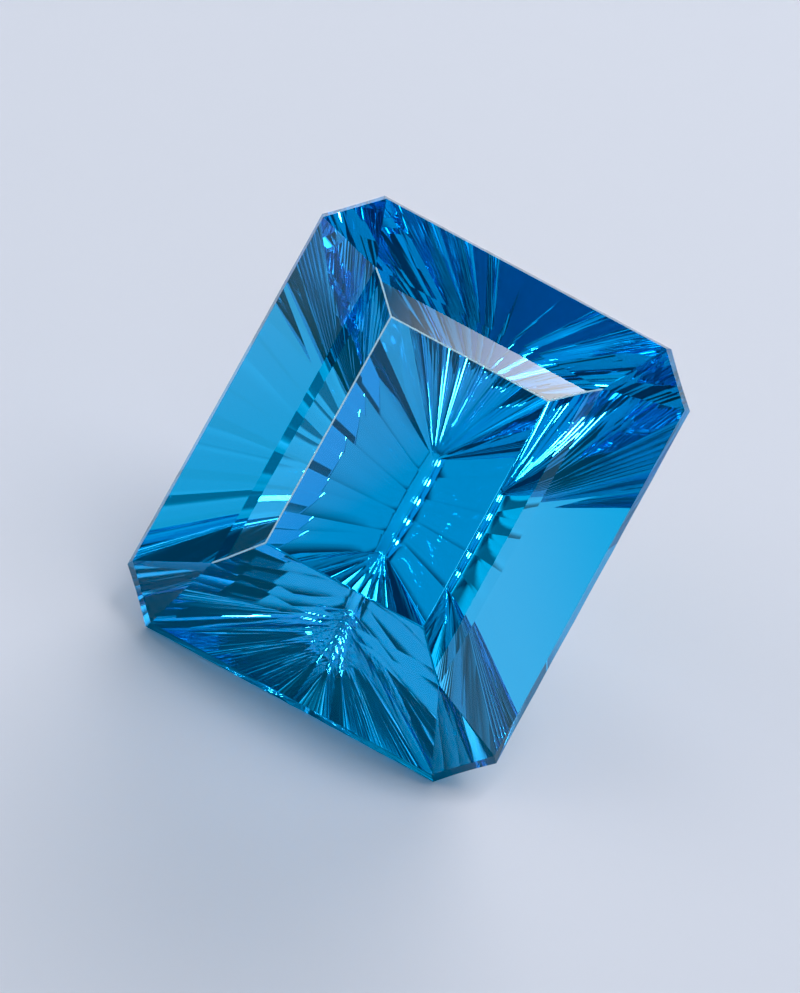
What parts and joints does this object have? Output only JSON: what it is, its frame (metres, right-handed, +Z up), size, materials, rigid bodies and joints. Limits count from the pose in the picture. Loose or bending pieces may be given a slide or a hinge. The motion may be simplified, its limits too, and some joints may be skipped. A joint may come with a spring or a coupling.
{
  "type": "faceted topaz gemstone",
  "caption": "Clear sky-blue cut gem: a long octagon with a stepped crown round a flat table, and a hollow-fluted underside that runs down to a short keel.",
  "frame": {"origin": "middle of the stone's bounding box, on the surface that the stone lies on", "axes": "+X along the short girdle sides, +Z up, and the table leans towards -Y"},
  "size_m": [0.0152, 0.0132, 0.0136],
  "materials": {
    "topaz": "polished"
  },
  "bodies": {
    "root": {"topaz": "topaz"}
  },
  "joints": []
}
